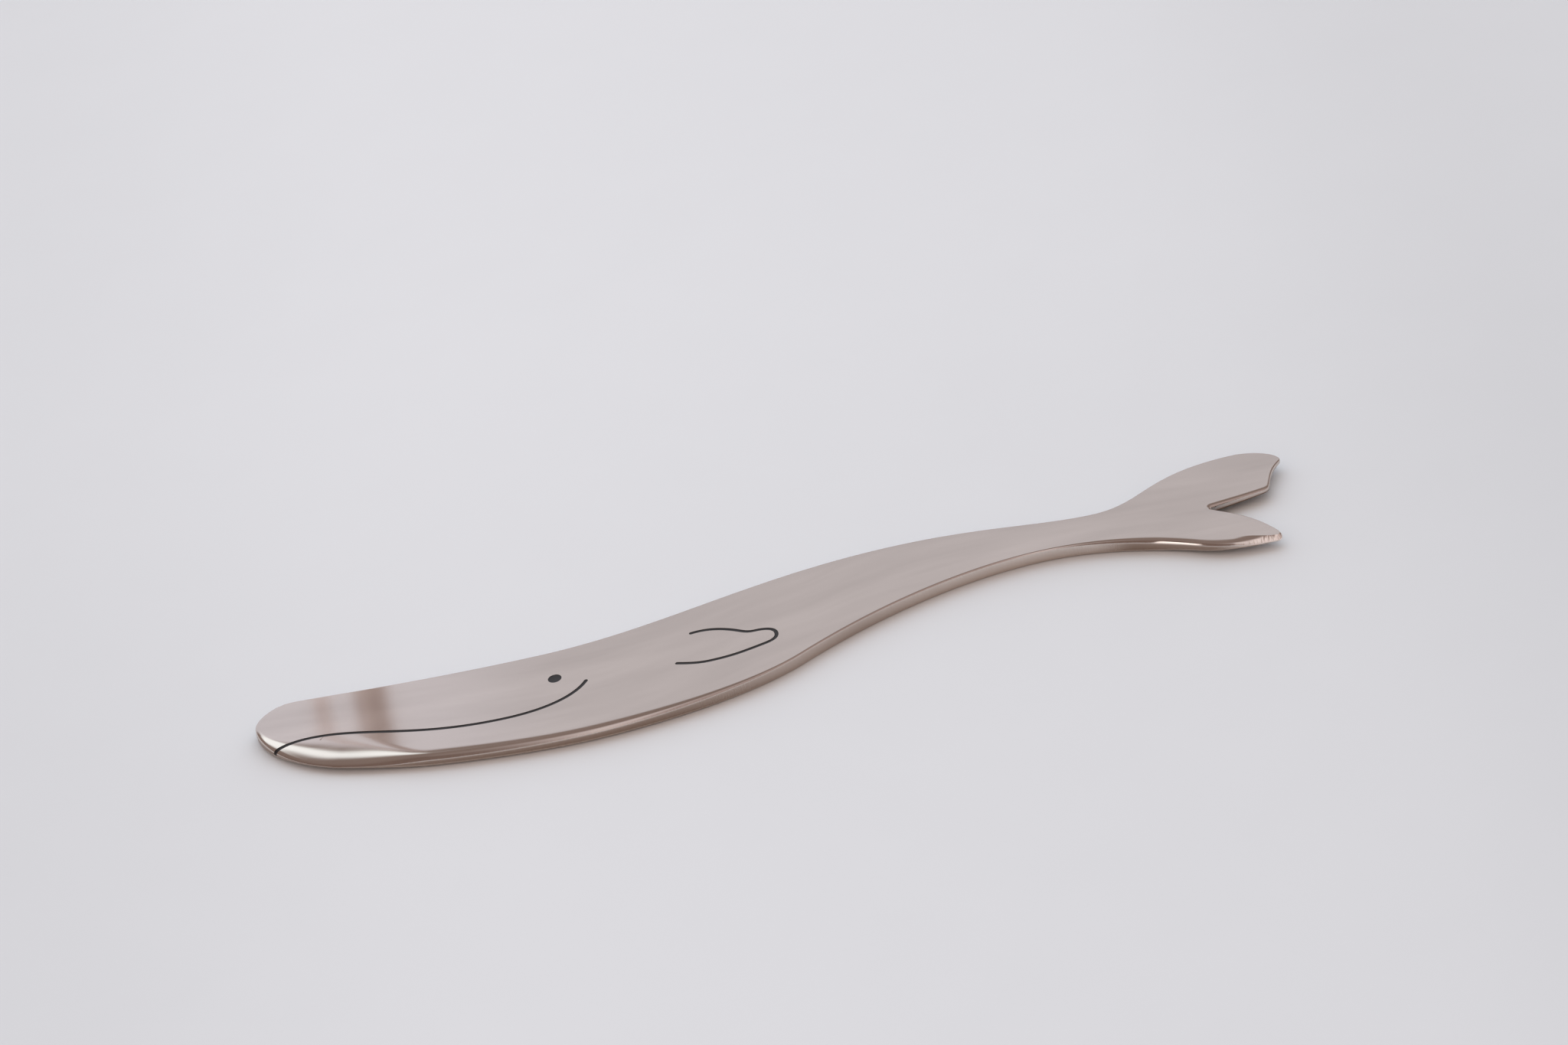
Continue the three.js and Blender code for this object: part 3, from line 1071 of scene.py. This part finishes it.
    def _edge(self, recipe: Recipe, turn: Wire, grind: Wire, facet: Wire) -> tuple[Wire, Wire]:
        """Gives the edge's section round the wall from the underside to the upper face.

        Args:
            recipe: The tree.
            turn: Where on the section: 0 in the middle of the wall, 1 on the upper face, -1 on the underside
                and past those a ring that holds the face flat.
            grind: The share of the snout's grind.
            facet: How far the upper half is ground off to a facet.

        Returns:
            How far into the steel, and the height from -1 on the underside to 1 on the upper face.
        """
        plain, under = recipe.value("Plain edge"), recipe.value("Under grind")
        upper = turn.over(0.0)
        broad = under + (recipe.value("Snout grind") - under) * upper
        reach = abs(turn)
        held = reach.least(1.0)
        into, up = self.section(held, grind, facet * upper)
        inset = (plain + (broad - plain) * grind) * into
        inset = inset + (reach - held) * (recipe.value("Rings") - 1) * recipe.value("Hold")
        return inset, up * (2 * upper - 1)

    @staticmethod
    def _lift(recipe: Recipe, place: Socket) -> Wire:
        """Gives the height of the underside, which rises behind the fold."""
        x, _, _ = recipe.split(place)
        return ((x - recipe.value("Fold")) * recipe.value("Relief")).most(0.0)

    def _lids(self, recipe: Recipe, guide: Socket) -> list[Socket]:
        """Fills the flats inside the edge: the upper face, and the underside to each side of the fold.

        Args:
            recipe: The tree.
            guide: The outline.

        Returns:
            The meshes of the three flats.
        """
        fluke, rim = (recipe.field(name, "BOOLEAN") for name in ("fluke", "fluke_rim"))
        away = recipe.give("FunctionNodeBooleanMath", {0: rim}, operation="NOT")
        rings = recipe.value("Rings")
        end = rings / (rings - 1)
        flats = []
        for side, dropped in ((1, None), (-1, fluke), (-1, away)):
            loop = self._ring(recipe, guide, end * side)
            if dropped is not None:
                kept = {"Geometry": loop, "Selection": dropped}
                loop = recipe.give("GeometryNodeDeleteGeometry", kept, domain="POINT")
            loop = recipe.give("GeometryNodeMeshToCurve", {"Mesh": loop})
            loop = recipe.give("GeometryNodeSetSplineCyclic", {"Geometry": loop, "Cyclic": True})
            flat = recipe.give("GeometryNodeFillCurve", {"Curve": loop}, mode="TRIANGLES")
            height = recipe.value("Thickness")
            if side < 0:
                flat = recipe.give("GeometryNodeFlipFaces", {"Mesh": flat})
                height = self._lift(recipe, recipe.give("GeometryNodeInputPosition"))
            raised = {"Geometry": flat, "Offset": recipe.join(0.0, 0.0, height)}
            flats.append(recipe.give("GeometryNodeSetPosition", raised))
        return flats

    def _ring(self, recipe: Recipe, guide: Socket, turn: Wire) -> Socket:
        """Gives the outline drawn in to where the edge meets a flat.

        Args:
            recipe: The tree.
            guide: The outline.
            turn: Where on the section the ring lies.

        Returns:
            The ring in plan.
        """
        grind, facet = (Wire(recipe, recipe.field(name)) for name in ("grind", "facet"))
        inset, _ = self._edge(recipe, turn, grind, facet)
        inward = recipe.scale(recipe.field("inward", "FLOAT_VECTOR"), inset)
        target = recipe.plus(recipe.give("GeometryNodeInputPosition"), inward)
        return recipe.give("GeometryNodeSetPosition", {"Geometry": guide, "Position": target})

    def build(self) -> Piece:
        """Makes the uncut steel."""
        self.material = self.finish.material(self.datum, *self.stretches())
        piece = new_piece("steel_body", self.guide())
        counts = {"Steps": len(self.outline.places), "Rings": self.rings}
        self.skin_recipe().run(piece, {**counts, **self.sizes(), "Material": self.material})
        return piece

    def cut(self, piece: Piece, tools: Sequence[Piece]) -> None:
        """Cuts the engravings and removes the cutters.

        Args:
            piece: The steel.
            tools: The cutters.
        """
        combine(piece, "DIFFERENCE", tools)
        for tool in tools:
            mesh = tool.data
            bpy.data.objects.remove(tool)
            bpy.data.meshes.remove(mesh)

    def dress(self, piece: Piece) -> None:
        """Gives the cut steel its one material and sharp edges, and hands it over to the frame.

        Args:
            piece: The steel.
        """
        mesh = piece.data
        mesh.materials.clear()
        mesh.materials.append(self.material)
        mesh.polygons.foreach_set("material_index", np.zeros(len(mesh.polygons), dtype=np.int32))
        tidy_edges(mesh)
        hand_over(piece, self.node)


@dataclass
class EngravedLine:
    """A line engraved in the upper face, and the enamel that fills it."""

    name: str
    node: str
    knots: Sequence[Knot]
    start: LineEnd = LineEnd.ROUND
    end: LineEnd = LineEnd.ROUND
    width: float = 0.62
    depth: float = 0.3
    recess: float = 0.07
    clearance: float = 0.02
    flare: float = 0.02
    step: float = 0.12
    least_steps: int = 24
    bluntest: float = 0.995

    def guide(self, steel: SteelBlank) -> Mesh:
        """Makes the line as a path on the steel that holds its side tilt and its taper at the ends.

        Args:
            steel: The steel that the line is cut into.

        Returns:
            The path's mesh.
        """
        line = draw(self.knots, self.step, least=self.least_steps)
        heights, tilts = [], []
        for place, side in zip(line.places, line.inward):
            height, climb = steel.height(place)
            heights.append(height)
            tilts.append(math.atan(float(np.dot(climb, side))))
        count = len(heights)
        taper = np.ones(count)
        for end, way in ((self.start, line.way), (self.end, line.way[-1] - line.way)):
            if end is LineEnd.ROUND:
                rest = np.clip(1 - way / (self.width / 2), 0.0, self.bluntest)
                taper = np.minimum(taper, np.sqrt(1 - rest ** 2))
        mesh = bpy.data.meshes.new(self.name)
        points = steel.to_frame(line.places, np.array(heights))
        mesh.from_pydata(points.tolist(), [(n, n + 1) for n in range(count - 1)], [])
        store(mesh, "tilt", np.array(tilts))
        store(mesh, "taper", taper)
        return mesh

    @staticmethod
    def sweep_recipe() -> Recipe:
        """Makes the tree that sweeps a four-sided section along a path on the steel."""
        recipe = Recipe("engraved_line", ("Top width", "Top", "Foot width", "Foot"))
        path = recipe.give("GeometryNodeMeshToCurve", {"Mesh": recipe.given.outputs["Geometry"]})
        path = recipe.give("GeometryNodeSetCurveNormal", {"Curve": path}, mode="Z_UP")
        path = recipe.give("GeometryNodeSetCurveTilt", {"Curve": path, "Tilt": recipe.field("tilt")})
        top, foot = recipe.value("Top") * -1, recipe.value("Foot") * -1
        wide, narrow = recipe.value("Top width") / 2, recipe.value("Foot width") / 2
        corners = ((wide * -1, top), (wide, top), (narrow, foot), (narrow * -1, foot))
        points = {f"Point {n}": recipe.join(*corner, 0.0) for n, corner in enumerate(corners, 1)}
        section = recipe.give("GeometryNodeCurvePrimitiveQuadrilateral", points, mode="POINTS")
        swept = {"Curve": path, "Profile Curve": section, "Scale": recipe.field("taper"), "Fill Caps": True}
        recipe.end(recipe.give("GeometryNodeCurveToMesh", swept))
        return recipe

    def _sweep(
        self,
        name: str,
        steel: SteelBlank,
        recipe: Recipe,
        section: Mapping[str, float],
        dress: Material,
    ) -> Piece:
        """Sweeps a section along the line.

        Args:
            name: The new object's name.
            steel: The steel that the line lies on.
            recipe: The tree that sweeps the section.
            section: Its widths, and its heights over the face, in millimetres.
            dress: The new object's material.

        Returns:
            The swept solid.
        """
        piece = new_piece(name, self.guide(steel))
        sizes = {title: size * MM for title, size in section.items()}
        recipe.run(piece, {**sizes, "Material": dress})
        return piece

    def cutter(self, steel: SteelBlank, recipe: Recipe) -> Piece:
        """Makes the tool that cuts the line, open upward and flared a little at the face.

        Args:
            steel: The steel that is cut.
            recipe: The tree that sweeps the section.

        Returns:
            The cutter.
        """
        wide = self.width + 2 * self.flare
        section = {"Top width": wide, "Top": self.depth, "Foot width": self.width, "Foot": -self.depth}
        return self._sweep(self.name + "_cutter", steel, recipe, section, steel.material)

    def fill(self, steel: SteelBlank, recipe: Recipe, enamel: Material) -> Piece:
        """Makes the enamel in the line.

        Args:
            steel: The steel with the cut.
            recipe: The tree that sweeps the section.
            enamel: The enamel's material.

        Returns:
            The enamel.
        """
        inside = self.width - 2 * self.clearance
        foot = self.clearance - self.depth
        section = {"Top width": inside, "Top": -self.recess, "Foot width": inside, "Foot": foot}
        return self._sweep(self.name, steel, recipe, section, enamel)


@dataclass
class Eye:
    """The round eye: a flat-bottomed hole with its enamel, dished where it dried."""

    x: float = 48.4
    y: float = -5.1
    diameter: float = 2.2
    depth: float = 0.3
    recess: float = 0.04
    dish: float = 0.03
    dish_rings: tuple[float, ...] = (0.9, 0.75, 0.5, 0.25)
    clearance: float = 0.02
    flare: float = 0.05
    above: float = 0.1
    sides: int = 72
    name: str = "eye_dot"
    node: str = "eye_enamel"

    def turned(self, name: str, steel: SteelBlank, section: Sequence[Span]) -> Piece:
        """Turns a section about the middle of the eye.

        Args:
            name: The new object's name.
            steel: The steel, whose upper face is height 0 here.
            section: Radius and height of each corner, from the lower middle to the upper middle.

        Returns:
            The turned solid.
        """
        work = bmesh.new()
        middle = Vector((self.x, self.y, steel.thickness)) * MM + steel.datum
        rings = []
        for radius, height in section:
            ring = []
            for side in range(self.sides if radius > 0 else 1):
                angle = 2 * math.pi * side / self.sides
                spot = Vector((radius * math.cos(angle), radius * math.sin(angle), height)) * MM
                ring.append(work.verts.new(middle + spot))
            rings.append(ring)
        for low, high in zip(rings, rings[1:]):
            for side in range(self.sides):
                after = (side + 1) % self.sides
                around = ((low, side), (low, after), (high, after), (high, side))
                corners = [ring[spot % len(ring)] for ring, spot in around]
                work.faces.new(list(dict.fromkeys(corners)))
        mesh = bpy.data.meshes.new(name)
        work.to_mesh(mesh)
        work.free()
        return new_piece(name, mesh)

    def cutter(self, steel: SteelBlank) -> Piece:
        """Makes the tool that sinks the eye's hole.

        Args:
            steel: The steel that is cut.

        Returns:
            The cutter.
        """
        radius = self.diameter / 2
        section = [(0.0, -self.depth), (radius, -self.depth), (radius, 0.0)]
        section += [(radius + self.flare, self.above), (0.0, self.above)]
        tool = self.turned(self.name + "_cutter", steel, section)
        tool.data.materials.append(steel.material)
        return tool

    def fill(self, steel: SteelBlank, enamel: Material) -> Piece:
        """Makes the eye's enamel.

        Args:
            steel: The steel with the hole.
            enamel: The enamel's material.

        Returns:
            The enamel.
        """
        radius = self.diameter / 2 - self.clearance
        top, foot = -self.recess, self.clearance - self.depth
        section = [(0.0, foot), (radius, foot), (radius, top)]
        for share in self.dish_rings:
            section.append((radius * share, top - self.dish * (1 - share ** 2)))
        section.append((0.0, top - self.dish))
        piece = self.turned(self.name, steel, section)
        piece.data.materials.append(enamel)
        return piece


@dataclass
class FaceDrawing:
    """The engraved face: mouth, eye and fin with their enamel."""

    mouth_length: float = 53.4
    mouth_corner_y: float = -7.3
    mouth_start_y: float = -6.5
    chin_end_x: float = 12.3
    fin_gap: float = 14.15
    fin_length: float = 16.6
    fin_spread: float = 8.7
    fin_y: float = -9.75
    line_width: float = 0.62
    finish: EnamelFinish = field(default_factory=EnamelFinish)

    def lines(self, steel: SteelBlank) -> list[EngravedLine]:
        """Gives the mouth, which runs out over the steel's edge, and the fin."""
        mouth, fin = self.mouth_knots(steel), self.fin_knots()
        return [
            EngravedLine("mouth_line", "mouth_enamel", mouth, LineEnd.RUNS_OUT, width=self.line_width),
            EngravedLine("fin_line", "fin_enamel", fin, width=self.line_width),
        ]

    def mouth_knots(self, steel: SteelBlank) -> list[Knot]:
        """Gives the mouth's knots, from past the edge of the chin to the corner behind the eye.

        Args:
            steel: The steel, with the chin's edge.

        Returns:
            The knots in order.
        """
        line = steel.outline
        chin = np.where((line.places[:, 0] < self.chin_end_x) & (line.places[:, 1] < 0))[0]
        start = chin[np.argmin(np.abs(line.places[chin, 1] - self.mouth_start_y))]
        outside = line.places[start] - line.inward[start] * 2 * self.line_width
        return [
            Knot(*outside, 0, leave=0.3),
            Knot(8.3, -6.4, 0, leave=0.28),
            Knot(40.2, -13, 0, arrive=0.46),
            Knot(self.mouth_length, self.mouth_corner_y, 61, arrive=0.32),
        ]

    def fin_knots(self) -> list[Knot]:
        """Gives the fin's knots: over the top, round the tip and back along the bottom."""
        shares = [
            (0.18, 1.0, 10, 0.4, 0.34),
            (0.65, 0.753, -35, 0.4, 0.4),
            (0.8, 0.638, 0, 0.4, 0.4),
            (1.0, 0.397, -90, 0.43, 0.43),
            (0.844, 0.15, -165, 0.4, 0.4),
            (0.345, 0.0, -180, 0.4, 0.37),
            (0.0, 0.16, -201, 0.38, 0.4),
        ]
        root = self.mouth_length + self.fin_gap
        return [
            Knot(root + along * self.fin_length, self.fin_y + up * self.fin_spread, *rest)
            for along, up, *rest in shares
        ]

    def engrave(self, steel: SteelBlank, body: Piece) -> None:
        """Cuts the face into the steel and fills it.

        Args:
            steel: The steel's sizes.
            body: The uncut steel.
        """
        enamel = self.finish.material()
        recipe = EngravedLine.sweep_recipe()
        eye = Eye()
        lines = self.lines(steel)
        fills = [(line.node, line.fill(steel, recipe, enamel)) for line in lines]
        fills.append((eye.node, eye.fill(steel, enamel)))
        for line, (_, fill) in zip(lines, fills):
            if LineEnd.RUNS_OUT in (line.start, line.end):
                combine(fill, "INTERSECT", [body])
        steel.cut(body, [line.cutter(steel, recipe) for line in lines] + [eye.cutter(steel)])
        for node, fill in fills:
            tidy_edges(fill.data)
            hand_over(fill, node)


# Table, light and camera


@dataclass(frozen=True)
class Room:
    """What the steel sees of the room, by direction, and the light that the room sheds on the table.

    Across the table stands a bright wall, brighter and cooler to the left, that ends at a height, and above
    it to the left a cool soft box. Overhead is dim, and behind the camera the room is dark to the left,
    bright in the middle and warm grey to the right. The light comes from the wall's side, with a warm fill.
    """

    wall_left: Colour = (0.769, 0.777, 0.85)
    wall_right: Colour = (0.653, 0.651, 0.69)
    wall_turn: Span = (-0.07, -0.052)
    wall_rise: Span = (0.5, 0.6)
    wall_gain: float = 0.07
    wall_ends: Span = (0.69, 0.785)
    box: Colour = (1.36, 1.49, 1.56)
    box_foot: Span = (0.55, 0.66)
    box_head: Span = (0.78, 0.85)
    box_left: Span = (-2.2, -0.7)
    box_right: Span = (-0.27, -0.2)
    left: Colour = (0.22, 0.16, 0.14)
    middle: Colour = (0.8, 0.74, 0.75)
    right: Colour = (0.5, 0.42, 0.41)
    middle_from: Span = (-0.33, 0.02)
    right_from: Span = (0.06, 0.2)
    overhead: Colour = (0.29, 0.23, 0.21)
    overhead_from: Span = (-0.25, 0.3)
    fill: Colour = (0.71, 0.595, 0.515)
    window: Colour = (1.95, 2.25, 2.47)
    window_from: Span = (0.0, 0.85)
    least_forward: float = 0.01

    def build(self) -> None:
        """Makes the world."""
        world = bpy.data.worlds.new("room")
        bpy.context.scene.world = world
        world.use_nodes = True
        board = Board(world.node_tree)
        side, forward, up = board.place("Generated")
        wall = board.blend(side.rise(*self.wall_turn), self.wall_left, self.wall_right)
        wall = board.scale(wall, 1 + self.wall_gain * up.rise(*self.wall_rise))
        behind = board.blend(side.rise(*self.middle_from), self.left, self.middle)
        behind = board.blend(side.rise(*self.right_from), behind, self.right)
        ceiling = board.blend(forward.rise(*self.overhead_from), behind, self.overhead)
        seen = board.blend(forward.rise(*self.wall_ends), ceiling, wall)
        bearing = side / forward.most(self.least_forward)
        box = up.between(self.box_foot, self.box_head) * bearing.between(self.box_left, self.box_right)
        seen = board.blend(box, seen, self.box)
        shed = board.blend(forward.rise(*self.window_from), self.fill, self.window)
        mirrored = board.out(board.add("ShaderNodeLightPath"), "Is Glossy Ray")
        colour = board.blend(mirrored, shed, seen)
        light = board.give("ShaderNodeBackground", {"Color": colour, "Strength": 1.0})
        board.add("ShaderNodeOutputWorld", {"Surface": light})


def set_sheet(name: str, corners: Sequence[Place], material: Material) -> Piece:
    """Makes a flat sheet of the setting, which is no part of the knife.

    Args:
        name: The sheet's name.
        corners: Its four corners in order.
        material: Its material.

    Returns:
        The sheet.
    """
    mesh = bpy.data.meshes.new(name)
    mesh.from_pydata(corners, [], [(0, 1, 2, 3)])
    mesh.materials.append(material)
    sheet = new_piece(name, mesh)
    return sheet


def aim(place: Place, target: Place) -> Matrix:
    """Gives the matrix of a camera or a panel at a place, turned to a target."""
    facing = (Vector(target) - Vector(place)).to_track_quat("-Z", "Y").to_matrix().to_4x4()
    return Matrix.Translation(Vector(place)) @ facing


@dataclass(frozen=True)
class Card:
    """A narrow card that stands behind the head and leans, which only the steel sees, as a band across it."""

    x: float
    width: float
    colour: Colour
    y: float = 0.115
    heights: Span = (0.05, 0.14)
    middle: float = 0.083
    lean: float = -0.064

    def build(self, name: str) -> None:
        """Makes the card.

        Args:
            name: The card's name.
        """
        made, board = new_material(name)
        shader = board.give("ShaderNodeBsdfDiffuse", {"Color": (*self.colour, 1.0)})
        board.add("ShaderNodeOutputMaterial", {"Surface": shader})
        corners = []
        for side, height in zip((-1, 1, 1, -1), np.repeat(self.heights, 2)):
            across = self.x + self.lean * (height - self.middle) + side * self.width / 2
            corners.append((across, self.y, height))
        card = set_sheet(name, corners, made)
        card.visible_camera = False
        card.visible_shadow = False
        card.visible_diffuse = False


@dataclass(frozen=True)
class Glint:
    """A small bright panel that only the steel sees, for a flash on its edge."""

    place: Place
    target: Place
    size: Span
    shine: float
    spread: float = 90.0

    def build(self, name: str) -> None:
        """Hangs the panel, turned to its target.

        Args:
            name: The panel's name.
        """
        data = bpy.data.lights.new(name, "AREA")
        data.shape = "RECTANGLE"
        data.size, data.size_y = self.size
        data.energy = self.shine * math.pi * self.size[0] * self.size[1]
        data.spread = math.radians(self.spread)
        panel = bpy.data.objects.new(name, data)
        bpy.context.scene.collection.objects.link(panel)
        panel.matrix_world = aim(self.place, self.target)
        panel.visible_camera = False
        panel.visible_diffuse = False


@dataclass(frozen=True)
class Studio:
    """A pale table in a plain room, with one small panel by the shoulder and narrow cards behind the head."""

    glint: Glint = Glint((0.0608, -0.0061, 0.0037), (0.0649, -0.0027, 0.001), (0.006, 0.0063), 0.42)
    cards: tuple[Card, ...] = (
        Card(-0.0772, 0.0062, (0.73, 0.67, 0.68)),
        Card(-0.0762, 0.0024, (0.57, 0.5, 0.49), y=0.1145),
        Card(-0.0863, 0.003, (0.93, 0.9, 0.95)),
    )
    table_half: float = 4.0
    finish: TableFinish = field(default_factory=TableFinish)
    room: Room = field(default_factory=Room)

    def build(self) -> None:
        """Makes the table in the plane of the knife's underside, the room, the panel and the cards."""
        half = self.table_half
        corners = [(-half, -half, 0.0), (half, -half, 0.0), (half, half, 0.0), (-half, half, 0.0)]
        set_sheet("table_top", corners, self.finish.material())
        self.room.build()
        self.glint.build("shoulder_glint")
        for number, card in enumerate(self.cards):
            card.build(f"card_{number}")


@dataclass(frozen=True)
class ViewPoint:
    """The photograph's camera: its place, what it looks at, its roll and its lens."""

    place: Place = (0.00594, -0.70708, 0.4705)
    target: Place = (0.00461, 0.03146, 0.0)
    roll: float = 12.7
    lens: float = 123.05
    sensor: float = 36.0
    clip: Span = (0.01, 20.0)

    def build(self) -> None:
        """Makes the camera and gives it to the scene."""
        data = bpy.data.cameras.new("view_point")
        data.lens = self.lens
        data.sensor_width = self.sensor
        data.clip_start, data.clip_end = self.clip
        camera = bpy.data.objects.new("view_point", data)
        bpy.context.scene.collection.objects.link(camera)
        turn = Matrix.Rotation(math.radians(-self.roll), 4, "Z")
        camera.matrix_world = aim(self.place, self.target) @ turn
        bpy.context.scene.camera = camera


def main() -> None:
    """Builds the knife and its setting in order."""
    scene = bpy.context.scene
    scene.view_settings.view_transform = "Standard"
    ViewPoint().build()
    Studio().build()
    steel = SteelBlank()
    body = steel.build()
    FaceDrawing().engrave(steel, body)
    steel.dress(body)


if __name__ == "__main__":
    main()
